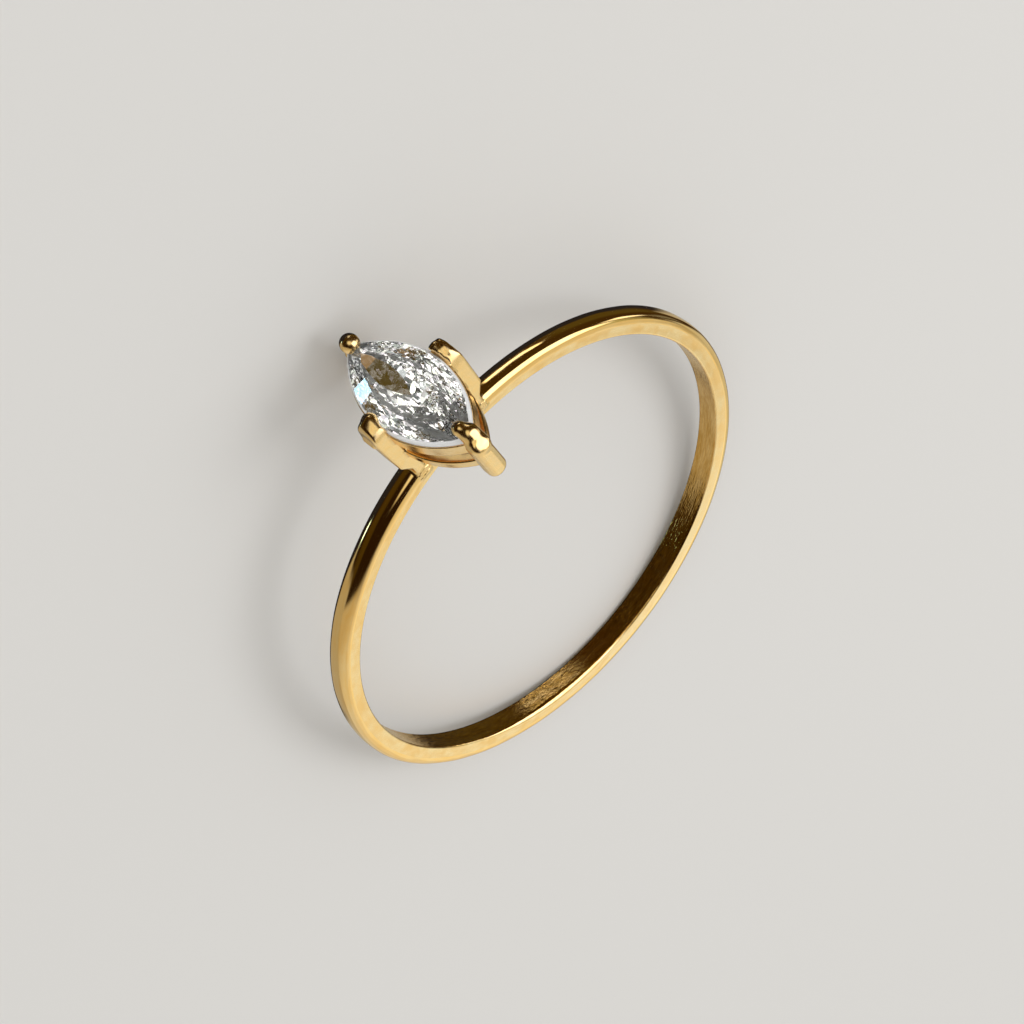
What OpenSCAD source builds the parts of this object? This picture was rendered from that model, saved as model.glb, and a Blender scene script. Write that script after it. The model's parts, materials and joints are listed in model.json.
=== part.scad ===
// A thin domed ring with one long pointed stone in an open basket of four claws. The ring lies on its
// side, on one claw's end and on the edge of the band opposite.

/* [Band] */
// Inner diameter of the band, where the finger goes
finger_d = 17; // [15:0.5:19]
// Width of the band, along the finger
band_w = 0.9; // [0.8:0.05:1.1]
// Height of the flat face on each side of the band
side_h = 0.56; // [0.5:0.02:0.7]
// Rise of the band's domed outside above its side faces
dome_h = 0.27; // [0.2:0.01:0.35]

/* [Stone] */
// Length of the stone from point to point, which runs along the finger
stone_l = 6; // [5.5:0.25:7]
// Width of the stone across its middle
stone_w = 3; // [2.75:0.25:3.25]
// Height of the stone's edge above the crest of the band
girdle_h = 2.67; // [2.5:0.01:3]
// Thickness of the stone's edge
girdle_t = 0.12; // [0.08:0.02:0.16]
// Height of the stone's top above its edge
crown_h = 0.42; // [0.36:0.02:0.5]
// Depth of the stone below its edge
pavilion_h = 1.2; // [1.1:0.05:1.3]
// Slope of the stone's top facets, in degrees
crown_slope = 32; // [30:1:35]

/* [Basket] */
// Wall of the two rails round the stone
rail_wall = 0.42; // [0.35:0.01:0.5]
// Height of the upper rail, which the stone sits in
seat_rail_h = 0.6; // [0.5:0.05:0.7]
// Height of the opening between the two rails
window_h = 0.7; // [0.6:0.05:0.8]
// Height of the lower rail
base_rail_h = 0.4; // [0.3:0.05:0.5]

/* [Claws] */
// Diameter of the two claws at the stone's points
claw_d = 0.74; // [0.65:0.01:0.8]
// Diameter of the bent tips of all four claws
tip_d = 0.68; // [0.6:0.01:0.72]
// Width of the blocks that carry the side claws on the band
shoulder_w = 0.66; // [0.6:0.01:0.7]

/* [Hidden] */
$fn = 96;

// Gap kept between the stone and the metal round it
seat_gap = 0.03;

// The band's radii, and the arc of its domed outside
finger_r = finger_d / 2;
side_r = finger_r + side_h;
crest_r = side_r + dome_h;
dome_r = (pow(band_w / 2, 2) + pow(dome_h, 2)) / (2 * dome_h);
dome_mid_r = crest_r - dome_r;

// The stone's outline is the overlap of two circles, each set off sideways from the middle
edge_arc_r = (pow(stone_l, 2) + pow(stone_w, 2)) / (4 * stone_w);
arc_offset = edge_arc_r - stone_w / 2;
point_angle = asin(stone_l / 2 / edge_arc_r);
girdle_r = crest_r + girdle_h;
pavilion_slope = atan(pavilion_h / (stone_w / 2));

// The room for the stone has upright walls this far above and below the middle of the stone's edge, and
// slopes in from there
seat_up = girdle_t / 2 + 0.04;
seat_down = girdle_t / 2 + 0.07;
seat_slope = pavilion_slope + 4;

// The upper rail follows the stone's outline a little way outside it, and the lower rail follows it
seat_rail_grow = 0.06;
base_rail_grow = 0;
seat_rail_top = girdle_r - girdle_t / 2 - 0.04;
seat_rail_low = seat_rail_top - seat_rail_h;
base_rail_top = seat_rail_low - window_h;
base_rail_low = base_rail_top - base_rail_h;

// The claws at the points: where the wire stands, its free lower end, its bend and its tip
claw_r = claw_d / 2;
tip_r = tip_d / 2;
claw_out = stone_l / 2 + 0.2;
claw_past_rail = 0.32;
claw_low_mid = base_rail_low - claw_past_rail + claw_r;
claw_bend = girdle_r - 0.2;
tip_in = stone_l / 2 - 0.28;
tip_up = girdle_r + 0.5;

// The side claws: how thick the wire is, where it stands, and its tip
side_claw_r = tip_r - 0.01;
side_claw_out = stone_w / 2 + 0.3;
side_claw_bend = girdle_r + 0.1;
side_tip_in = stone_w / 2 + 0.12;
side_tip_up = girdle_r + 0.58;

// The blocks under the side claws. The lower outer corner of each is cut away in a slope
shoulder_in = stone_w / 2 - 0.16;
shoulder_out = shoulder_in + shoulder_w;
shoulder_depth = band_w - 0.04;
shoulder_low = side_r - 0.3;
shoulder_top = girdle_r - 0.4;
shoulder_cut_w = 0.36;
shoulder_cut_low = side_r + 0.3;
shoulder_cut_top = side_r + 1.1;

// How the ring rests: the floor touches the round end of one claw and the far edge of the band
rest_run = claw_low_mid + side_r;
rest_drop = claw_out - band_w / 2;
rest_tilt = atan(rest_drop / rest_run) + asin(claw_r / norm([rest_run, rest_drop]));
lift = side_r * sin(rest_tilt) + band_w / 2 * cos(rest_tilt);
back_y = dome_mid_r * cos(rest_tilt) + dome_r;
front_y = -(tip_up * cos(rest_tilt) + tip_in * sin(rest_tilt) + tip_r);

// Facets of the stone: their place round the outline, in parts of the way from the middle to a point,
// and how much steeper or flatter they are than the main slope, in degrees
crown_facets = [[0, 0], [0.5, 0], [0.17, 5], [0.34, 5], [0.66, 5], [0.84, 5], [0.25, -9], [0.75, -9]];
pavilion_facets = [[0, 0], [0.46, 0], [0.15, 3], [0.31, 3], [0.62, 3], [0.8, 2]];

// Lays the ring on the floor, with its head to the front
module at_rest() {
    translate([0, -(front_y + back_y) / 2, lift])
        rotate([-rest_tilt, 0, 0])
            children();
}

// Sets what is drawn with +Z away from the band's axis and +Y along the finger at the front of the ring
module at_head() {
    rotate([90, 0, 0]) children();
}

// The hoop, with flat sides and a domed outside
module band() {
    rotate_extrude()
        intersection() {
            translate([dome_mid_r, 0]) circle(r = dome_r);
            translate([finger_r, -band_w / 2]) square([side_h + dome_h, band_w]);
        }
}

// The stone's outline, or one that runs a little outside or inside it
module marquise(grow = 0) {
    intersection_for(side = [-1, 1])
        translate([side * arc_offset, 0]) circle(r = edge_arc_r + grow);
}

// A wall that follows the stone's outline
module rail(low, height, grow) {
    translate([0, 0, low])
        linear_extrude(height)
            difference() {
                marquise(grow);
                marquise(grow - rail_wall);
            }
}

// A straight wire with round ends, between the middles of its two end balls
module wire(from, to, radius) {
    run = to - from;
    length = norm(run);
    translate(from)
        rotate([0, acos(run[2] / length), atan2(run[1], run[0])])
            rotate_extrude()
                intersection() {
                    union() {
                        circle(r = radius);
                        translate([0, length]) circle(r = radius);
                        translate([0, 0]) square([radius, length]);
                    }
                    translate([0, -radius]) square([radius, length + 2 * radius]);
                }
}

// A claw at one point of the stone: an upright wire, free at its lower end and bent over the stone
module point_claw(side) {
    wire([0, side * claw_out, claw_low_mid], [0, side * claw_out, claw_bend], claw_r);
    wire([0, side * claw_out, claw_bend], [0, side * tip_in, tip_up], tip_r);
}

// A claw beside the stone, a wire on the block that stands on the band
module side_claw(side) {
    mirror([side > 0 ? 0 : 1, 0, 0]) {
        wire([side_claw_out, 0, shoulder_top - tip_r], [side_claw_out, 0, side_claw_bend], side_claw_r);
        wire([side_claw_out, 0, side_claw_bend], [side_tip_in, 0, side_tip_up], tip_r);
        translate([0, shoulder_depth / 2, 0])
            rotate([90, 0, 0])
                linear_extrude(shoulder_depth) shoulder_outline();
    }
}

// The block under a side claw, as seen along the finger
module shoulder_outline() {
    polygon([
        [shoulder_in, shoulder_low],
        [shoulder_out - shoulder_cut_w, shoulder_low],
        [shoulder_out - shoulder_cut_w, shoulder_cut_low],
        [shoulder_out, shoulder_cut_top],
        [shoulder_out, shoulder_top],
        [shoulder_in, shoulder_top]
    ]);
}

// The room cut for the stone: a little larger than the stone all round, and steeper below its edge
module seat() {
    room_r = edge_arc_r + seat_gap;
    intersection_for(side = [-1, 1])
        translate([side * arc_offset, 0, girdle_r]) {
            translate([0, 0, -seat_down])
                cylinder(h = seat_down + seat_up, r = room_r);
            translate([0, 0, seat_up])
                cylinder(h = crown_h, r1 = room_r, r2 = room_r - crown_h / tan(crown_slope));
            translate([0, 0, -seat_down - pavilion_h])
                cylinder(h = pavilion_h, r1 = room_r - pavilion_h / tan(seat_slope), r2 = room_r);
        }
}

// All the soldered metal: the band, the two rails and the four claws
module ring_metal() {
    color("goldenrod")
        at_rest() {
            difference() {
                union() {
                    band();
                    at_head() {
                        rail(seat_rail_low, seat_rail_h, seat_rail_grow);
                        rail(base_rail_low, base_rail_h, base_rail_grow);
                        for (side = [-1, 1]) {
                            point_claw(side);
                            side_claw(side);
                        }
                    }
                }
                at_head() seat();
                cylinder(h = 2 * band_w, r = finger_r, center = true);
            }
        }
}

// Cuts away all that lies outside one facet. turn is the way that the facet faces, up is 1 above the
// stone's edge and -1 below it
module cut_facet(point, turn, slope, up) {
    block = 3 * stone_l;
    translate([point[0], point[1], up * girdle_t / 2])
        rotate([0, up > 0 ? slope : 180 - slope, turn])
            translate([-block / 2, -block / 2, 0])
                cube(block);
}

// The same facet on all four quarters of the outline
module cut_quarters(place, slope, up) {
    angle = place * point_angle;
    point = [edge_arc_r * cos(angle) - arc_offset, edge_arc_r * sin(angle)];
    for (x = [-1, 1], y = (place > 0 ? [-1, 1] : [1]))
        cut_facet([x * point[0], y * point[1]], atan2(y * sin(angle), x * cos(angle)), slope, up);
}

// The faceted stone, drawn with its edge at height 0
module cut_stone() {
    difference() {
        translate([0, 0, -pavilion_h - girdle_t / 2])
            linear_extrude(pavilion_h + girdle_t + crown_h) marquise();
        for (facet = crown_facets)
            cut_quarters(facet[0], crown_slope + facet[1], 1);
        for (facet = pavilion_facets)
            cut_quarters(facet[0], pavilion_slope + facet[1], -1);
    }
}

module marquise_stone() {
    color("aliceblue")
        at_rest() at_head()
            translate([0, 0, girdle_r]) cut_stone();
}

ring_metal();
marquise_stone();
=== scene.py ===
import json
import math

import bmesh
import bpy
import numpy as np
from mathutils import Matrix, Vector


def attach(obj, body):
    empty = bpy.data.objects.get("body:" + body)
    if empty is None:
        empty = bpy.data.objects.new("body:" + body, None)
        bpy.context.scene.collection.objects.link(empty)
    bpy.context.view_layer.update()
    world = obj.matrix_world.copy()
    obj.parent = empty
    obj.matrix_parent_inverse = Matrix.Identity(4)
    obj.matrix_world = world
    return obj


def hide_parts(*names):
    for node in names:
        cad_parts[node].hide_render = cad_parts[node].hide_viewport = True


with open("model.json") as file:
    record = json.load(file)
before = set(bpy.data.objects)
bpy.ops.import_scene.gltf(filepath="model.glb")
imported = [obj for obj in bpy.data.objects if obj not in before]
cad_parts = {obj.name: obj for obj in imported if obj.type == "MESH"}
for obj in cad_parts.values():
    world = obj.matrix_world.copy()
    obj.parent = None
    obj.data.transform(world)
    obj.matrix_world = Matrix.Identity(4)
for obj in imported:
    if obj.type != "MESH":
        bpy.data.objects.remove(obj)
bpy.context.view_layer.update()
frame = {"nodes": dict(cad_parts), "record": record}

# The ring's own directions: t across the stone, a along the finger, r out from the finger hole to the stone.
# Shapes are worked out in them, in millimetres, and placed in the frame at the end.
MM = 0.001
hole = next(m for m in frame["record"]["mounts"] if m["name"] == "finger_hole")
ring_centre = np.array(hole["pos_m"])
t_axis = np.array([1.0, 0.0, 0.0])
a_axis = np.array(hole["axis"])
r_axis = np.cross(t_axis, a_axis)
ring_axes = np.array([t_axis, a_axis, r_axis])


def placed(points):
    """Points given as t, a and r in millimetres, in the frame's metres."""
    return np.asarray(points) @ ring_axes * MM + ring_centre


def extent(node):
    """Lowest and highest t, a and r of a CAD node."""
    corners = np.array([v.co for v in frame["nodes"][node].data.vertices])
    own = (corners - ring_centre) @ ring_axes.T / MM
    return own.min(axis=0), own.max(axis=0)


metal_high = extent("ring_metal")[1]
stone_low, stone_high = extent("marquise_stone")

# Band, in millimetres, with turns in degrees from the stone. Its dome is higher near the stone, and worn
# lower on two stretches, each with its turn, its reach and its depth. The inside is rounded into the side
# faces, and worn rounder on one stretch.
finger_r = hole["dims"]["r_mm"]
crest_r = metal_high[0]
half_band = hole["dims"]["length_mm"] / 2
dome_h = 0.34
dome_h_at_stone = 0.44
stone_reach = 42
near_power = 3.0
far_power = 2.3
dome_wear = ((105, 45, 0.04), (288, 22, 0.05))
inner_edge = 0.06
worn_edge = 0.13
worn_turn = 203
worn_reach = 17

# Rows of corners in the band's mesh, and how far those of its sides and inside stay from the next part
band_steps = 960
dome_steps = 49
side_steps = 8
corner_steps = 10
inside_steps = 10
side_gap = 0.03
corner_gap = 0.02
closing_step = 0.05

# Waves of hand polishing on the band, and the knocks on one stretch of its side faces
wave_h = 0.0030
ripple_h = 0.0016
edge_wave_h = 0.0010
knock_h = 0.0022
knock_turn = 235
knock_reach = 42
side_sunk = 0.003
wave_start = 0.3

# Stone, in millimetres
half_length = stone_high[1]
half_width = stone_high[0]
table_r = stone_high[2]
stone_depth = stone_high[2] - stone_low[2]
crown_h = 0.40
girdle_t = 0.20
girdle_top = table_r - crown_h
girdle_low = girdle_top - girdle_t
outline_r = (half_length ** 2 + half_width ** 2) / (2 * half_width)
outline_shift = outline_r - half_width
point_angle = math.asin(half_length / outline_r)

# Basket, in millimetres
rail_wall = 0.42
seat_rail = (11.30, 11.90)
base_rail = (10.20, 10.60)
seat_rail_grow = 0.06
base_rail_grow = 0.0
rail_edge = 0.06
claw_depth = 0.43
tongue_shift = 0.02
tongue_low = 10.34
skin_step = 0.036

# Outlines of the side claws seen along the finger, as places across the stone and out from the finger hole
right_strip = [(1.44, 8.7), (1.64, 8.7), (1.68, 9.36), (2.04, 9.92), (2.10, 11.8), (2.06, 12.3), (1.9, 12.75),
               (1.46, 12.8), (1.42, 12.4), (1.55, 12.2), (1.54, 11.7), (1.45, 10.4)]
left_block = [(1.2, 8.7), (1.64, 8.7), (1.66, 9.5), (1.97, 9.97), (2.03, 10.85), (2.07, 11.75), (1.95, 11.92),
              (1.56, 11.96), (1.5, 11.55), (1.32, 11.2), (1.24, 9.9)]
left_strip = [(1.5, 11.2), (2.02, 11.3), (2.08, 11.9), (2.04, 12.3), (1.9, 12.85), (1.46, 12.85),
              (1.46, 11.9)]

# Rounded tops of the side claws: their edges, how far they reach back, where they are highest and how wide
strip_edge = 0.06
top_edge = 0.13
top_back = 0.30
top_crest = 1.72
top_half = 0.55

# Dents on the bent ends: the height at which they start, where the right claw starts, how fast both fade in,
# and the share of their depth on the other claws
dents_from = 12.05
right_from = -1.2
dents_fade = 0.2
dents_elsewhere = 0.12

# Solder at the feet: its fillet, how far it runs out on the band, and how it thins out and sinks in there
foot_fillet = 0.14
foot_reach = 0.34
thin_from = 0.12
thin_over = 0.15
thin_depth = 0.03

# Room cut for the stone: its gap, how it leans in above and below the stone's edge, and the gap at the hole
seat_gap = 0.01
crown_from = 0.03
crown_lean = 1.25
back_lean = 0.7
room_scale = 0.7
hole_gap = 0.002


def round_edge(first, second, edge):
    """The inside of two distances at once, with the edge between them rounded."""
    one, two = first + edge, second + edge
    outside = np.hypot(np.maximum(one, 0), np.maximum(two, 0))
    return np.minimum(np.maximum(one, two), 0) + outside - edge


def solder(first, second, fillet):
    """Two distances joined into one, with a fillet in the corner between them."""
    share = np.clip(0.5 + 0.5 * (second - first) / fillet, 0, 1)
    return second * (1 - share) + first * share - fillet * share * (1 - share)


def wire(p, start, end, start_r, end_r):
    """A round wire between two balls."""
    start, run = np.array(start), np.array(end) - np.array(start)
    part = np.clip(((p - start) @ run) / (run @ run), 0, 1)
    away = p - start - part[..., None] * run
    return np.sqrt((away ** 2).sum(axis=-1)) - start_r - part * (end_r - start_r)


def bead(p, middle, radii):
    """A ball or an egg shape."""
    away = np.sqrt((((p - np.array(middle)) / np.array(radii)) ** 2).sum(axis=-1))
    return (away - 1) * min(radii)


def plate(x, y, corners):
    """A flat outline with straight edges between its corners."""
    nearest = np.full(x.shape, np.inf)
    inside = np.zeros(x.shape, bool)
    for (x1, y1), (x2, y2) in zip(corners, corners[1:] + corners[:1]):
        run_x, run_y = x2 - x1, y2 - y1
        part = np.clip(((x - x1) * run_x + (y - y1) * run_y) / (run_x ** 2 + run_y ** 2), 0, 1)
        nearest = np.minimum(nearest, np.hypot(x - x1 - part * run_x, y - y1 - part * run_y))
        crossed = (y1 <= y) != (y2 <= y)
        if run_y:
            inside ^= crossed & (x < x1 + (y - y1) * run_x / run_y)
    return np.where(inside, -nearest, nearest)


def stone_outline(t, a):
    """How far a place lies outside the stone's outline, seen from above."""
    return np.maximum(np.hypot(t + outline_shift, a), np.hypot(t - outline_shift, a)) - outline_r


def rail(p, low_high, grow):
    """A wall that follows the stone's outline."""
    side = stone_outline(p[..., 0], p[..., 1])
    wall = np.abs(side - grow + rail_wall / 2) - rail_wall / 2
    low, high = low_high
    height = np.abs(p[..., 2] - (low + high) / 2) - (high - low) / 2
    return round_edge(wall, height, rail_edge)


def filed(shape, p, through, facing, edge):
    """A shape filed flat at one place."""
    facing = np.array(facing) / np.linalg.norm(facing)
    return round_edge(shape, (p - np.array(through)) @ facing, edge)


def hammered(p, depth=0.006):
    """The small dents of pliers and hammer on the bent ends of the claws, deepest on the right claw."""
    t, a, r = p[..., 0], p[..., 1], p[..., 2]
    right = np.clip((right_from - t) / dents_fade, 0, 1)
    bent = np.clip((r - dents_from) / dents_fade, 0, 1)
    dents = np.sin(19 * t + 6 * a + 1) + np.sin(17 * a - 9 * r + 2) + np.sin(16 * r + 11 * t)
    ridges = 1.3 * np.sin(24 * t - 5 * a + 0.5)
    return depth * (dents * (dents_elsewhere + (1 - dents_elsewhere) * right) + ridges * right) * bent


def claw_tongue(p, side, middle, top, half_t, half_a, edge):
    """The upright part of a claw at one of the stone's points: a flattened wire with a round lower end."""
    t, a, r = p[..., 0], side * p[..., 1], p[..., 2]
    front = np.hypot(t + tongue_shift, r - np.clip(r, tongue_low, top)) - half_t
    return round_edge(front, np.abs(a - middle) - half_a, edge)


def far_claw(p):
    """The claw at the far point, with a ball end over the stone."""
    post = claw_tongue(p, -1, 3.06, 11.5, 0.28, 0.24, 0.14)
    neck = wire(p, (-0.04, -3.0, 11.7), (-0.05, -2.78, 12.4), 0.24, 0.30)
    ball = bead(p, (-0.05, -2.76, 12.47), (0.35, 0.36, 0.35))
    return solder(solder(post, neck, 0.10), ball, 0.08)


def near_claw(p):
    """The claw at the near point: a straight bend, then a finger over the stone with a blunt end."""
    post = claw_tongue(p, 1, 3.22, 11.86, 0.37, 0.32, 0.22)
    bend = wire(p, (-0.12, 3.20, 11.84), (-0.12, 2.90, 12.16), 0.35, 0.34)
    finger = wire(p, (-0.12, 2.90, 12.16), (-0.02, 2.60, 12.34), 0.34, 0.27)
    whole = solder(solder(post, bend, 0.14), finger, 0.08)
    return filed(whole, p, (-0.171, 3.30, 12.221), (-0.15, 0.74, 0.655), 0.09)


def strip_claw(p, corners, back, front, middle, reach, top_r, top_reach):
    """A flat strip beside the stone, with its top rounded over like a cushion."""
    strip = plate(np.abs(p[..., 0]), p[..., 2], corners)
    body = round_edge(strip, np.abs(p[..., 1] - (front + back) / 2) - (front - back) / 2, strip_edge)
    reaches = np.where(p[..., 1] > middle, reach, top_back)
    across = (p[..., 1] - middle) / reaches
    wide = (np.abs(p[..., 0]) - top_crest) / top_half
    above = np.maximum(p[..., 2] - top_r, 0) / top_reach * np.sqrt(1 + wide ** 4)
    size = np.hypot(across, above)
    least_slope = 0.3
    cushion = (size - 1) * size / np.maximum(np.hypot(across / reaches, above / top_reach), least_slope)
    return round_edge(body, np.where(above > 0, cushion, -1), top_edge)


def right_claw(p):
    """The claw beside the stone, a flat strip that stands on the band, with a hammered end."""
    whole = strip_claw(p, right_strip, -0.54, claw_depth, -0.34, 0.90, 11.32, 1.05)
    whole = filed(whole, p, (-2.0, -0.38, 12.2), (-0.7, -0.65, 0.3), 0.12)
    return np.where(p[..., 0] < 0, whole, 1.0)


def left_claw(p):
    """Its fellow on the other side, with a small ledge where the strip meets its block."""
    block = round_edge(plate(p[..., 0], p[..., 2], left_block), np.abs(p[..., 1]) - claw_depth, 0.08)
    strip = strip_claw(p, left_strip, -claw_depth, claw_depth, -0.20, 0.78, 11.95, 0.64)
    strip = np.where(p[..., 0] > 0, strip, 1.0)
    end = bead(p, (1.56, -0.2, 12.38), (0.28, 0.30, 0.26))
    ledge = wire(p, (2.05, -0.2, 11.84), (2.05, 0.20, 11.80), 0.10, 0.10)
    return solder(solder(np.minimum(block, strip), end, 0.16), ledge, 0.10)


def band_distance(p):
    """The hoop's own shape at the stone."""
    along = p[..., 1]
    out = np.hypot(p[..., 0], p[..., 2])
    power = np.where(along > 0, near_power, far_power)
    flat = np.clip(1 - np.abs(along / half_band) ** power, 0, None) ** (1 / power)
    outside = np.maximum(out - crest_r + dome_h_at_stone * (1 - flat), np.abs(along) - half_band)
    return np.maximum(outside, finger_r - out)


def basket_distance(p):
    """The two rails and the four claws, soldered to each other."""
    rails = np.minimum(rail(p, seat_rail, seat_rail_grow), rail(p, base_rail, base_rail_grow))
    claws = np.minimum(np.minimum(far_claw(p), near_claw(p)), np.minimum(right_claw(p), left_claw(p)))
    return solder(rails, claws, 0.09) + hammered(p)


def soldered_basket(p):
    """The basket with each foot run out in solder on the band, and its seat cut for the stone."""
    basket = basket_distance(p)
    sunk = thin_depth * np.clip((basket - thin_from) / thin_over, 0, 1)
    joined = solder(basket, band_distance(p) + sunk, foot_fillet)
    joined = np.maximum(joined, basket - foot_reach)
    side = stone_outline(p[..., 0], p[..., 1])
    crown = side - seat_gap + np.maximum(p[..., 2] - girdle_top - crown_from, 0) * crown_lean
    below = side - seat_gap + np.maximum(girdle_low - p[..., 2], 0) * back_lean
    room = np.where(p[..., 2] > girdle_low, crown, below)
    joined = np.maximum(joined, -room * room_scale)
    return np.maximum(joined, finger_r + hole_gap - np.hypot(p[..., 0], p[..., 2]))


def slope_of(distance, p, reach=0.004):
    """Which way a distance grows at each place."""
    way = np.zeros(p.shape)
    for axis in range(3):
        step = np.zeros(3)
        step[axis] = reach
        way[..., axis] = distance(p + step) - distance(p - step)
    return way / np.maximum(np.linalg.norm(way, axis=-1, keepdims=True), 1e-9)


def skin(distance, low, high, step):
    """Corners and four-sided faces of the surface where a distance is 0, found on a grid of cells."""
    axes = [np.arange(start, stop + step, step) for start, stop in zip(low, high)]
    value = distance(np.stack(np.meshgrid(*axes, indexing="ij"), axis=-1))
    inside = value < 0
    cells = tuple(n - 1 for n in inside.shape)
    corners = [(x, y, z) for x in (0, 1) for y in (0, 1) for z in (0, 1)]

    def at(array, corner):
        return array[tuple(slice(c, c + n) for c, n in zip(corner, cells))]

    full = sum(at(inside, c).astype(np.int8) for c in corners)
    where = np.argwhere((full > 0) & (full < 8))
    number = np.full(cells, -1)
    number[tuple(where.T)] = np.arange(len(where))
    held = {c: value[tuple((where + c).T)] for c in corners}
    total, crossings = np.zeros((len(where), 3)), np.zeros(len(where))
    for one in corners:
        for axis in range(3):
            if one[axis]:
                continue
            two = tuple(c + (k == axis) for k, c in enumerate(one))
            crossed = (held[one] < 0) != (held[two] < 0)
            part = held[one] / np.where(crossed, held[one] - held[two], 1)
            total += np.where(crossed[:, None], np.array(one) + part[:, None] * np.eye(3)[axis], 0)
            crossings += crossed
    points = np.array(low) + (where + total / crossings[:, None]) * step
    faces = []
    for axis in range(3):
        first, second = [k for k in range(3) if k != axis]
        here = inside.take(range(cells[axis]), axis=axis)
        there = inside.take(range(1, cells[axis] + 1), axis=axis)
        edge = np.argwhere(here != there)
        edge = edge[(edge[:, first] > 0) & (edge[:, second] > 0)]
        edge = edge[(edge[:, first] < cells[first]) & (edge[:, second] < cells[second])]
        leaves = here[tuple(edge.T)]
        ring = []
        for back_first, back_second in ((0, 0), (1, 0), (1, 1), (0, 1)):
            cell = edge.copy()
            cell[:, first] -= back_first
            cell[:, second] -= back_second
            ring.append(number[tuple(cell.T)])
        quad = np.stack(ring, axis=1)
        flip = leaves == (axis == 1)
        quad[flip] = quad[flip][:, ::-1]
        faces.append(quad)
    return points, np.concatenate(faces)


def settle(points, faces, distance, rounds=3, longest=0.5):
    """Spreads the corners evenly and puts them back on the true surface."""
    ends = np.concatenate([faces[:, [k, (k + 1) % 4]] for k in range(4)])
    for _ in range(rounds):
        total = np.zeros_like(points)
        count = np.zeros(len(points))
        for one, two in ((0, 1), (1, 0)):
            np.add.at(total, ends[:, one], points[ends[:, two]])
            np.add.at(count, ends[:, one], 1)
        points = points + 0.5 * (total / count[:, None] - points)
        for _ in range(2):
            away = np.clip(distance(points), -longest * skin_step, longest * skin_step)
            points = points - away[:, None] * slope_of(distance, points)
    return points


def new_object(name, mesh):
    """An object in the scene."""
    piece = bpy.data.objects.new(name, mesh)
    bpy.context.scene.collection.objects.link(piece)
    return piece


def make_mesh(name, points, faces):
    """A smooth mesh from corners in the ring's own millimetres."""
    mesh = bpy.data.meshes.new(name)
    mesh.from_pydata(placed(points).tolist(), [], [list(map(int, f)) for f in faces])
    mesh.update()
    mesh.shade_smooth()
    return mesh


def band_section(turn):
    """Radius and place along the finger of each point round the hoop's section, at one turn from the stone,
    and where each part starts: over the dome, down the near side, across the inside and up the far side."""
    away = (turn + 180) % 360 - 180
    side_r = crest_r - dome_h - (dome_h_at_stone - dome_h) * math.exp(-(away / stone_reach) ** 2)
    top_r = crest_r - sum(depth * math.exp(-((turn - at) / reach) ** 2) for at, reach, depth in dome_wear)
    corner = inner_edge + worn_edge * math.exp(-((turn - worn_turn) / worn_reach) ** 2)
    over = np.linspace(-math.pi / 2, math.pi / 2, dome_steps)
    round_share = 2 / np.where(over > 0, near_power, far_power)
    dome_r = side_r + (top_r - side_r) * np.abs(np.cos(over)) ** round_share
    dome_a = half_band * np.sign(over) * np.abs(np.sin(over)) ** round_share
    quarter = np.linspace(0, math.pi / 2, corner_steps)

    def side(edge):
        down = np.linspace(side_r - side_gap, finger_r + edge + corner_gap, side_steps)
        curve = [(finger_r + edge * (1 - math.sin(k)), half_band - edge * (1 - math.cos(k))) for k in quarter]
        return [(r, half_band) for r in down] + curve

    near = side(corner)
    far = [(r, -a) for r, a in reversed(side(inner_edge))]
    across = np.linspace(half_band - corner - side_gap, -half_band + inner_edge + side_gap, inside_steps)
    inside = [(finger_r, a) for a in across]
    whole = np.array(list(zip(dome_r, dome_a)) + near + inside + far)
    starts = np.cumsum([0, dome_steps, len(near) - len(quarter) // 2, len(inside) + len(quarter)])
    return whole, starts


def unroll_band(mesh, section):
    """Lays the band's faces out flat, with millimetres round the finger and along the section."""
    count = len(section)
    along = np.concatenate([[0], np.cumsum(np.hypot(*np.diff(section[:, ::-1], axis=0).T))])
    along = np.append(along, along[-1] + closing_step)
    unrolled = mesh.uv_layers.new(name="unrolled")
    for k in range(band_steps):
        for i in range(count):
            first = (k * count + i) * 4
            ends = ((k, i), (k, i + 1), (k + 1, i + 1), (k + 1, i))
            for corner, (turn_step, place) in enumerate(ends):
                round_way = turn_step / band_steps * 2 * math.pi * crest_r
                unrolled.data[first + corner].uv = (round_way, along[place])


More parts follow.
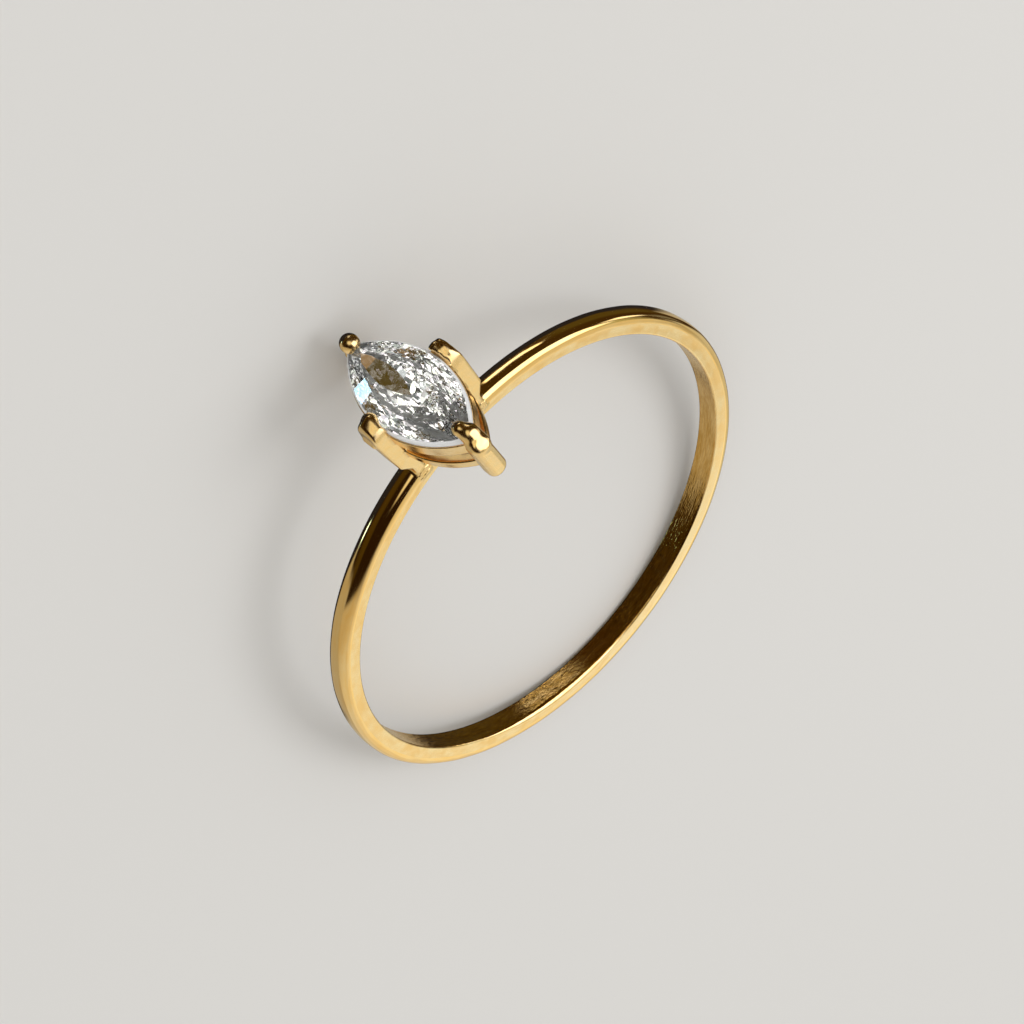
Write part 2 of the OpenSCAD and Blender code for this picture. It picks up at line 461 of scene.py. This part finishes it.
def make_band():
    """The hoop: flat sides, a domed outside and a plain inside, with the slight waves of hand polishing."""
    turns = np.arange(band_steps) * 2 * math.pi / band_steps
    rows = []
    for turn in turns:
        section, starts = band_section(math.degrees(turn))
        r, a = section.T
        wave = wave_h * np.sin(13 * turn + 2 * a) + ripple_h * np.sin(31 * turn + 1 - 3 * a)
        knocked = math.exp(-((math.degrees(turn) - knock_turn) / knock_reach) ** 2)
        slant = 9 * (r - finger_r)
        dents = np.sin(37 * turn + slant) + np.sin(58 * turn - 0.7 * slant + 2)
        dents = dents + np.sin(23 * turn + 2 * slant)
        edge_wave = edge_wave_h * math.sin(17 * turn + 2) + knock_h * knocked * (dents - 1) - side_sunk
        outer = np.clip((r - finger_r) / wave_start, 0, 1)
        near_edge = np.clip(np.abs(a) / half_band, 0, 1) ** 4
        r = r + wave * outer
        a = a + edge_wave * outer * near_edge * np.sign(a)
        rows.append(np.stack([-r * math.sin(turn), a, r * math.cos(turn)], axis=1))
    count = len(section)
    faces = []
    for k in range(band_steps):
        here, ahead = k * count, (k + 1) % band_steps * count
        for i in range(count):
            after = (i + 1) % count
            faces.append((here + i, here + after, ahead + after, ahead + i))
    mesh = make_mesh("band", np.concatenate(rows), faces)

    # The lengths along the section hardly change with the turn, so the last one serves for all
    unroll_band(mesh, section)
    # The inside's faces take the brushed gold, whose darker colour is painted shade
    polished, flat, brushed_shaded = 0, 1, 2
    part = np.digitize(np.arange(count), starts[1:])
    finish = np.tile(np.array([polished, flat, brushed_shaded, flat])[part], band_steps)
    mesh.polygons.foreach_set("material_index", finish.astype(np.int32))
    return new_object("band", mesh)


def make_basket():
    """The two rails and the four claws as one soldered piece. The grid that it is found on starts below the
    feet, at a height that puts no layer of cells close under the flat top of a rail."""
    low = (-2.35, -3.7, 8.163)
    high = (2.35, 3.75, 12.85)
    points, faces = skin(soldered_basket, low, high, skin_step)
    points = settle(points, faces, soldered_basket)
    return new_object("claw_basket", make_mesh("claw_basket", points, faces))


def outline_place(place):
    """A place on the stone's outline, from 0 at its side to 1 at its point, and the way that it faces."""
    angle = place * point_angle
    return outline_r * math.cos(angle) - outline_shift, outline_r * math.sin(angle), angle


# Tiers of facets. Each has its slope in degrees, how far in from the stone's edge its facets lie and how far
# above or below the edge in millimetres, how many there are in a quarter of the stone, and the places of the
# first and last, from 0 at the stone's side to 1 at its point. The back is cut a little unevenly.
crown_tiers = [(48, 0.00, 0.00, 16, 0.03, 0.97), (30, 0.28, 0.195, 5, 0.0, 0.8)]
pavilion_tiers = [(52, 0.06, 0.08, 13, 0.04, 0.97), (47, 0.25, 0.30, 13, 0.0, 0.85),
                  (42, 0.45, 0.50, 13, 0.03, 0.80), (36, 0.65, 0.655, 13, 0.0, 0.70),
                  (31, 0.83, 0.775, 12, 0.025, 0.62), (28, 1.00, 0.87, 11, 0.0, 0.55),
                  (25, 1.17, 0.955, 10, 0.025, 0.48), (22, 1.34, 1.03, 8, 0.0, 0.36)]
# Facets along the keel on the far side, with their slope, their place along the finger and their depth
keel_facets = [(14, -0.5, 0.975), (20, -1.85, 0.645)]
uneven = 2.6
rim_steps = 48

# Finishes of the facets: clear, but ground or foiled where a facet looks up less than this
clear, ground, foiled = 0, 1, 2
ground_under = 0.72
foiled_under = -0.05


def facet_planes():
    """Each facet as a point on it and the way that it faces, in t, a and r."""
    planes = []
    for up, edge_r, tiers in ((1, girdle_top, crown_tiers), (-1, girdle_low, pavilion_tiers)):
        for slope, inward, depth, count, first, last in tiers:
            for place in np.linspace(first, last, count):
                t, a, angle = outline_place(place)
                for side in (1, -1):
                    for end in ((1, -1) if place else (1,)):
                        number = len(planes) + 1
                        tilt, twist = math.radians(slope), 0
                        if up < 0:
                            tilt += math.radians(uneven * math.sin(12.9 * number))
                            twist = math.radians(uneven * 1.5 * math.sin(7.7 * number + 1))
                        out = Vector((side * math.cos(angle), end * math.sin(angle), 0))
                        at = Vector((side * t, end * a, edge_r + up * depth)) - out * inward
                        way = Vector((side * math.cos(angle + twist), end * math.sin(angle + twist), 0))
                        planes.append((at, way * math.sin(tilt) + Vector((0, 0, up * math.cos(tilt)))))
    for slope, along, depth in keel_facets:
        tilt = math.radians(slope)
        planes.append((Vector((0, along, girdle_low - depth)), Vector((0, -math.sin(tilt), -math.cos(tilt)))))
    return planes


def make_stone():
    """The marquise: a prism of its outline, cut facet by facet."""
    shell = bmesh.new()
    rim = []
    for side in (1, -1):
        for k in range(rim_steps):
            t, a, _ = outline_place(side * (2 * k / rim_steps - 1))
            rim.append((side * t, a))
    top = [shell.verts.new((t, a, table_r)) for t, a in rim]
    low = [shell.verts.new((t, a, table_r - stone_depth)) for t, a in rim]
    shell.faces.new(top)
    shell.faces.new(low[::-1])
    for k in range(len(rim)):
        ahead = (k + 1) % len(rim)
        shell.faces.new((top[k], low[k], low[ahead], top[ahead]))
    for at, facing in facet_planes():
        parts = shell.verts[:] + shell.edges[:] + shell.faces[:]
        cut = bmesh.ops.bisect_plane(shell, geom=parts, dist=1e-5, plane_co=at, plane_no=facing,
                                     clear_outer=True)
        edges = [e for e in cut["geom_cut"] if isinstance(e, bmesh.types.BMEdge) and e.is_boundary]
        if len(edges) > 2:
            bmesh.ops.contextual_create(shell, geom=edges)
    bmesh.ops.dissolve_degenerate(shell, edges=shell.edges[:], dist=1e-4)
    bmesh.ops.recalc_face_normals(shell, faces=shell.faces[:])
    for face in shell.faces:
        up = face.normal.z
        face.material_index = foiled if up < foiled_under else (ground if up < ground_under else clear)
        face.smooth = False
    for vertex in shell.verts:
        vertex.co = placed(vertex.co)
    mesh = bpy.data.meshes.new("marquise")
    shell.to_mesh(mesh)
    shell.free()
    return new_object("marquise", mesh)


# Materials

def add(tree, kind, links=(), **settings):
    """A new node with its settings, and with links or values for its inputs by name or number."""
    node = tree.nodes.new(kind)
    for key, value in settings.items():
        setattr(node, key, value)
    for key, value in dict(links).items():
        if isinstance(value, bpy.types.NodeSocket):
            tree.links.new(value, node.inputs[key])
        else:
            node.inputs[key].default_value = value
    return node


def calculated(tree, operation, *values):
    """What a Math node makes of one or two values."""
    return add(tree, "ShaderNodeMath", dict(enumerate(values)), operation=operation).outputs[0]


def mixed(tree, share, first, second):
    """One colour mixed into another."""
    return add(tree, "ShaderNodeMix", {0: share, 6: first, 7: second}, data_type="RGBA").outputs[2]


def make_hand_finish():
    """A node group for worked metal: the height of its grain and waves, and a mottle from 0 to 1."""
    group = bpy.data.node_groups.new("hand_finish", "ShaderNodeTree")
    sockets = (("Place", "NodeSocketVector"), ("Grain", "NodeSocketVector"), ("Wave", "NodeSocketVector"),
               ("Grain Height", "NodeSocketFloat"), ("Wave Height", "NodeSocketFloat"))
    for label, kind in sockets:
        group.interface.new_socket(label, in_out="INPUT", socket_type=kind)
    for label in ("Height", "Mottle"):
        group.interface.new_socket(label, in_out="OUTPUT", socket_type="NodeSocketFloat")
    given = group.nodes.new("NodeGroupInput").outputs
    layers = []
    for size, detail in (("Grain", 2.0), ("Wave", 1.0)):
        spot = add(group, "ShaderNodeVectorMath", {0: given["Place"], 1: given[size]}, operation="DIVIDE")
        noise = add(group, "ShaderNodeTexNoise", {"Vector": spot.outputs[0], "Scale": 1.0, "Detail": detail})
        layers.append(noise.outputs["Fac"])
    heights = []
    for layer, size in zip(layers, ("Grain Height", "Wave Height")):
        heights.append(calculated(group, "MULTIPLY", layer, given[size]))
    total = calculated(group, "ADD", *heights)
    both = calculated(group, "ADD", *layers)
    mottle = add(group, "ShaderNodeMapRange", {"Value": both, "From Min": 0.75, "From Max": 1.25})
    out = group.nodes.new("NodeGroupOutput")
    group.links.new(total, out.inputs["Height"])
    group.links.new(mottle.outputs["Result"], out.inputs["Mottle"])
    return group


def new_material(name):
    """A material with its node tree and its shader."""
    material = bpy.data.materials.new(name)
    material.use_nodes = True
    tree = material.node_tree
    return material, tree, tree.nodes["Principled BSDF"]


def make_gold(name, finish, unrolled, colours, roughness, grain, wave, heights):
    """Gold with a worked surface. The sizes and the heights of its grain and waves are in millimetres."""
    material, tree, shader = new_material(name)
    if unrolled:
        place = add(tree, "ShaderNodeUVMap", uv_map="unrolled").outputs["UV"]
    else:
        metres = add(tree, "ShaderNodeTexCoord").outputs["Object"]
        place = add(tree, "ShaderNodeVectorMath", {0: metres, "Scale": 1 / MM}, operation="SCALE").outputs[0]
    worked = add(tree, "ShaderNodeGroup", node_tree=finish)
    tree.links.new(place, worked.inputs["Place"])
    worked.inputs["Grain"].default_value = grain
    worked.inputs["Wave"].default_value = wave
    worked.inputs["Grain Height"].default_value = heights[0]
    worked.inputs["Wave Height"].default_value = heights[1]
    mottle = worked.outputs["Mottle"]
    tone = mixed(tree, mottle, (*colours[0], 1), (*colours[1], 1))
    sheen = add(tree, "ShaderNodeMapRange", {"Value": mottle, "To Min": roughness[0], "To Max": roughness[1]})
    bump = add(tree, "ShaderNodeBump", {"Height": worked.outputs["Height"], "Distance": MM, "Strength": 1.0})
    shader.inputs["Metallic"].default_value = 1
    tree.links.new(tone, shader.inputs["Base Color"])
    tree.links.new(sheen.outputs["Result"], shader.inputs["Roughness"])
    tree.links.new(bump.outputs["Normal"], shader.inputs["Normal"])
    return material


def make_golds():
    """Gold for the dome, the side faces, the inside and the basket; the inside's darker gold is painted
    shade.
    """
    finish = make_hand_finish()
    bright = ((1.0, 0.64, 0.22), (1.0, 0.70, 0.30))
    pale = ((0.92, 0.60, 0.23), (1.0, 0.76, 0.39))
    even = ((0.97, 0.66, 0.27), (1.0, 0.73, 0.36))
    # The inside's gold is painted shade: darker and deeper in hue than the dome's, for shade and light
    # bounced inside the band
    deep_painted_shade = ((0.74, 0.42, 0.10), (1.0, 0.66, 0.26))
    polished = make_gold("polished_gold", finish, True, bright, (0.06, 0.13),
                         (0.5, 0.12, 1), (1.6, 0.5, 1), (0.0010, 0.004))
    flat = make_gold("filed_gold", finish, True, pale, (0.12, 0.20),
                     (0.5, 0.25, 1), (1.7, 0.6, 1), (0.0010, 0.004))
    brushed_shaded = make_gold("brushed_shaded_gold", finish, True, deep_painted_shade, (0.09, 0.18),
                        (0.36, 0.055, 1), (1.6, 0.3, 1), (0.0140, 0.006))
    soft = make_gold("basket_gold", finish, False, even, (0.16, 0.26),
                     (0.2, 0.2, 0.2), (0.7, 0.7, 0.7), (0.0006, 0.004))
    return polished, flat, brushed_shaded, soft


def make_clear():
    """The clear stone, with the faint haze of fingers on its facets."""
    material, tree, shader = new_material("clear_stone")
    metres = add(tree, "ShaderNodeTexCoord").outputs["Object"]
    haze = add(tree, "ShaderNodeTexNoise", {"Vector": metres, "Scale": 900.0, "Detail": 2.0})
    smear = add(tree, "ShaderNodeMapRange", {"Value": haze.outputs["Fac"], "From Min": 0.45, "From Max": 0.75,
                                             "To Min": 0.0, "To Max": 0.03})
    tree.links.new(smear.outputs["Result"], shader.inputs["Roughness"])
    shader.inputs["Base Color"].default_value = (0.99, 0.99, 0.99, 1)
    shader.inputs["IOR"].default_value = 2.15
    shader.inputs["Transmission Weight"].default_value = 1
    return material


def make_frosted():
    """The stone's edge, ground and left unpolished."""
    material, tree, shader = new_material("ground_edge")
    metres = add(tree, "ShaderNodeTexCoord").outputs["Object"]
    grit = add(tree, "ShaderNodeTexNoise", {"Vector": metres, "Scale": 16000.0, "Detail": 2.0})
    depth = 0.02 * MM
    bump = add(tree, "ShaderNodeBump", {"Height": grit.outputs["Fac"], "Distance": depth, "Strength": 1.0})
    tree.links.new(bump.outputs["Normal"], shader.inputs["Normal"])
    shader.inputs["Base Color"].default_value = (0.97, 0.98, 0.99, 1)
    shader.inputs["Roughness"].default_value = 0.5
    shader.inputs["IOR"].default_value = 1.6
    shader.inputs["Transmission Weight"].default_value = 0.15
    return material


def make_foil():
    """The silvered back of the stone, slightly clouded."""
    material, tree, shader = new_material("foil_back")
    metres = add(tree, "ShaderNodeTexCoord").outputs["Object"]
    noise = add(tree, "ShaderNodeTexNoise", {"Vector": metres, "Scale": 1800.0, "Detail": 2.0})
    cloud = noise.outputs["Fac"]
    tone = mixed(tree, cloud, (0.93, 0.93, 0.93, 1), (0.99, 0.99, 0.99, 1))
    blur = add(tree, "ShaderNodeMapRange", {"Value": cloud, "From Min": 0.3, "From Max": 0.7,
                                            "To Min": 0.0, "To Max": 0.04})
    bump = add(tree, "ShaderNodeBump", {"Height": cloud, "Distance": 0.004 * MM, "Strength": 1.0})
    tree.links.new(tone, shader.inputs["Base Color"])
    tree.links.new(blur.outputs["Result"], shader.inputs["Roughness"])
    tree.links.new(bump.outputs["Normal"], shader.inputs["Normal"])
    shader.inputs["Metallic"].default_value = 1
    return material


def make_floor():
    """A plain pale floor, which the metal doesn't mirror."""
    material, _, shader = new_material("pale_floor")
    shader.inputs["Base Color"].default_value = (0.72, 0.71, 0.69, 1)
    shader.inputs["Roughness"].default_value = 0.8
    mesh = bpy.data.meshes.new("floor")
    half = 1.5
    corners = [(-half, -half, 0), (half, -half, 0), (half, half, 0), (-half, half, 0)]
    mesh.from_pydata(corners, [], [(0, 1, 2, 3)])
    floor = new_object("floor", mesh)
    mesh.materials.append(material)
    floor.visible_glossy = False
    floor.visible_transmission = False


# Studio: what the polished metal mirrors, painted one over the other on a dark room. Each has an azimuth, 0
# along +Y and 90 along +X, an elevation, a width, a height or 0 for a round one, how soft its edge is, all in
# degrees, and its light.
dark_room = (0.050, 0.028, 0.006)
surroundings = {
    "ceiling_low": (-40, 40, 40, 20, 6, (0.42, 0.42, 0.25)),
    "ceiling": (-85, 71, 72, 0, 4, (2.2, 2.25, 2.4)),
    "ceiling_end": (90, 0, 190, 0, 4, (0.02, 0.01, 0.003)),
    "ceiling_edge": (-13, 39, 26, 34, 5, (0.70, 0.66, 0.52)),
    "window": (50, 0, 111, 0, 3, (0.50, 0.45, 0.34)),
    "window_middle": (35, 5, 80, 0, 18, (0.68, 0.68, 0.66)),
    "window_side": (9, 19, 32, 0, 8, (0.80, 0.78, 0.72)),
    "window_left": (-22, 3, 38, 36, 4, (0.60, 0.62, 0.58)),
    "side_panel": (-4, 19, 13, 0, 2, (0.95, 0.95, 0.85)),
    "side_glow": (-6.5, 20, 3.5, 0, 1.5, (1.15, 1.3, 1.5)),
    "corner": (-55, 5, 12, 20, 6, (0.20, 0.20, 0.18)),
    "spot": (-71, 20, 15, 17, 3, (1.7, 1.75, 1.8)),
    "strip": (-134, -25, 26, 5, 1.5, (2.3, 2.3, 2.2)),
    "floor_left": (-86, -30, 50, 20, 8, (0.085, 0.065, 0.015)),
    "table_edge": (150, -24, 70, 16, 6, (0.062, 0.040, 0.006)),
    "table": (0, -90, 107, 0, 2, (0.02, 0.02, 0.03)),
    "sill": (76, -42, 66, 34, 4, (0.42, 0.40, 0.34)),
    "table_sheen": (-3, -38, 86, 12, 3, (0.46, 0.44, 0.36)),
    "behind": (176, 36, 43, 0, 6, (0.90, 0.84, 0.66)),
    "small_lamp": (130, -48, 6, 0, 2, (3.4, 5.4, 6.8)),
}

# What the stone gathers on top of the many lamps in it, in the same form
seen_in_stone = {
    "warm_wall": (-165, 76, 36, 0, 3, (0.40, 0.24, 0.10)),
    "dark_wall": (173, 41, 34, 0, 3, (0.10, 0.062, 0.008)),
}

# Those lamps: how many there are across the room, how few of them are strong, their light, and their colour
lamp_scale = 11.0
lamp_contrast = 2.2
weakest = 0.08
strongest = 3.2
lamp_white = (0.95, 0.99, 0.93, 1)
lamp_tint = 0.14

# Plain light on the floor, the key light and the camera, with places in metres. The camera has the ways that
# the picture's right side and its top point.
studio_grey = (0.8, 0.79, 0.77)
key_place = Vector((-0.12, 0.02, 0.2))
key_side = 0.12
key_watts = 0.12
sensor_mm = 36
lens_mm = 140.625
camera_place = (0.01258, -0.10495, 0.09253)
picture_right = Vector((-0.6506, 0.4498, 0.6119))
picture_up = Vector((-0.754, -0.4787, -0.4497))


def soft_mask(tree, direction, azimuth, elevation, width, height, soft):
    """1 inside a light and 0 outside it, by the direction that a ray goes."""
    az, el = math.radians(azimuth), math.radians(elevation)
    ahead = Vector((math.sin(az) * math.cos(el), math.cos(az) * math.cos(el), math.sin(el)))
    side = Vector((math.cos(az), -math.sin(az), 0))

    def part(way):
        product = add(tree, "ShaderNodeVectorMath", {0: direction, 1: way}, operation="DOT_PRODUCT")
        return product.outputs["Value"]

    def faded(angle, size):
        edge, blur = math.radians(size / 2), math.radians(soft)
        ends = {"Value": angle, "From Min": edge + blur, "From Max": edge - blur}
        return add(tree, "ShaderNodeMapRange", ends, interpolation_type="SMOOTHSTEP").outputs["Result"]

    if not height:
        return faded(calculated(tree, "ARCCOSINE", part(ahead)), width)
    masks = []
    for way, size in ((side, width), (side.cross(ahead), height)):
        angle = calculated(tree, "ARCTAN2", part(way), part(ahead))
        masks.append(faded(calculated(tree, "ABSOLUTE", angle), size))
    return calculated(tree, "MULTIPLY", *masks)


def painted(tree, direction, light, table):
    """A light by direction with a table of lights painted over it."""
    for azimuth, elevation, width, height, soft, colour in table.values():
        mask = soft_mask(tree, direction, azimuth, elevation, width, height, soft)
        light = mixed(tree, mask, light, (*colour, 1))
    return light


def make_lamps(tree, direction):
    """The stone gathers light from all over the room, so it sees many small lamps, each with its own strength
    and a little of its own colour."""
    lamps = add(tree, "ShaderNodeTexVoronoi", {"Vector": direction, "Scale": lamp_scale}).outputs["Color"]
    power = add(tree, "ShaderNodeSeparateColor", {0: lamps}).outputs[0]
    power = calculated(tree, "POWER", power, lamp_contrast)
    power = add(tree, "ShaderNodeMapRange", {"Value": power, "To Min": weakest, "To Max": strongest})
    tint = mixed(tree, lamp_tint, lamp_white, lamps)
    light = {0: tint, "Scale": power.outputs["Result"]}
    return add(tree, "ShaderNodeVectorMath", light, operation="SCALE").outputs[0]


def make_world():
    """The room that the metal mirrors, the lamps that the stone gathers, and a plain grey for the rest."""
    world = bpy.data.worlds.new("studio")
    bpy.context.scene.world = world
    world.use_nodes = True
    tree = world.node_tree
    tree.nodes.clear()
    direction = add(tree, "ShaderNodeTexCoord").outputs["Generated"]
    room = add(tree, "ShaderNodeRGB").outputs[0]
    room.default_value = (*dark_room, 1)
    mirrored = add(tree, "ShaderNodeBackground", {"Color": painted(tree, direction, room, surroundings)})
    light = make_lamps(tree, direction)
    glow = add(tree, "ShaderNodeBackground", {"Color": painted(tree, direction, light, seen_in_stone)})
    plain = add(tree, "ShaderNodeBackground", {"Color": (*studio_grey, 1)})
    path = add(tree, "ShaderNodeLightPath").outputs
    by_metal = {0: path["Is Glossy Ray"], 1: plain.outputs[0], 2: mirrored.outputs[0]}
    by_metal = add(tree, "ShaderNodeMixShader", by_metal).outputs[0]
    by_stone = {0: path["Is Transmission Ray"], 1: by_metal, 2: glow.outputs[0]}
    by_stone = add(tree, "ShaderNodeMixShader", by_stone).outputs[0]
    add(tree, "ShaderNodeOutputWorld", {"Surface": by_stone})
    world.cycles.sampling_method = "NONE"


def make_key_light():
    """A soft light from above, for the floor and its shadow. The metal and the stone don't mirror it."""
    lamp = bpy.data.lights.new("key", "AREA")
    lamp.shape = "RECTANGLE"
    lamp.size, lamp.size_y = key_side, key_side
    lamp.energy = key_watts
    key = new_object("key", lamp)
    key.location = key_place
    key.rotation_mode = "QUATERNION"
    key.rotation_quaternion = (-key_place).to_track_quat("-Z", "Y")
    key.visible_camera = False
    key.visible_glossy = False
    key.visible_transmission = False


def make_camera():
    """The camera where the picture was taken from, turned about its line of sight as the picture is."""
    lens = bpy.data.cameras.new("camera")
    lens.sensor_width = sensor_mm
    lens.lens = lens_mm
    lens.clip_start, lens.clip_end = 0.005, 10
    camera = new_object("camera", lens)
    back = picture_right.cross(picture_up)
    turn = Matrix((picture_right, picture_up, back)).transposed()
    camera.matrix_world = Matrix.Translation(camera_place) @ turn.to_4x4()
    bpy.context.scene.camera = camera


polished_gold, filed_gold, brushed_shaded_gold, basket_gold = make_golds()
band = make_band()
basket = make_basket()
stone = make_stone()
for finish in (polished_gold, filed_gold, brushed_shaded_gold):
    band.data.materials.append(finish)
basket.data.materials.append(basket_gold)
for piece in (band, basket):
    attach(piece, "root")
    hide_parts("ring_metal")
for finish in (make_clear(), make_frosted(), make_foil()):
    stone.data.materials.append(finish)
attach(stone, "root")
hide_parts("marquise_stone")
make_floor()
make_world()
make_key_light()
make_camera()
scene = bpy.context.scene
scene.view_settings.view_transform = "Standard"
scene.cycles.max_bounces = 24
scene.cycles.glossy_bounces = 16
scene.cycles.transmission_bounces = 16
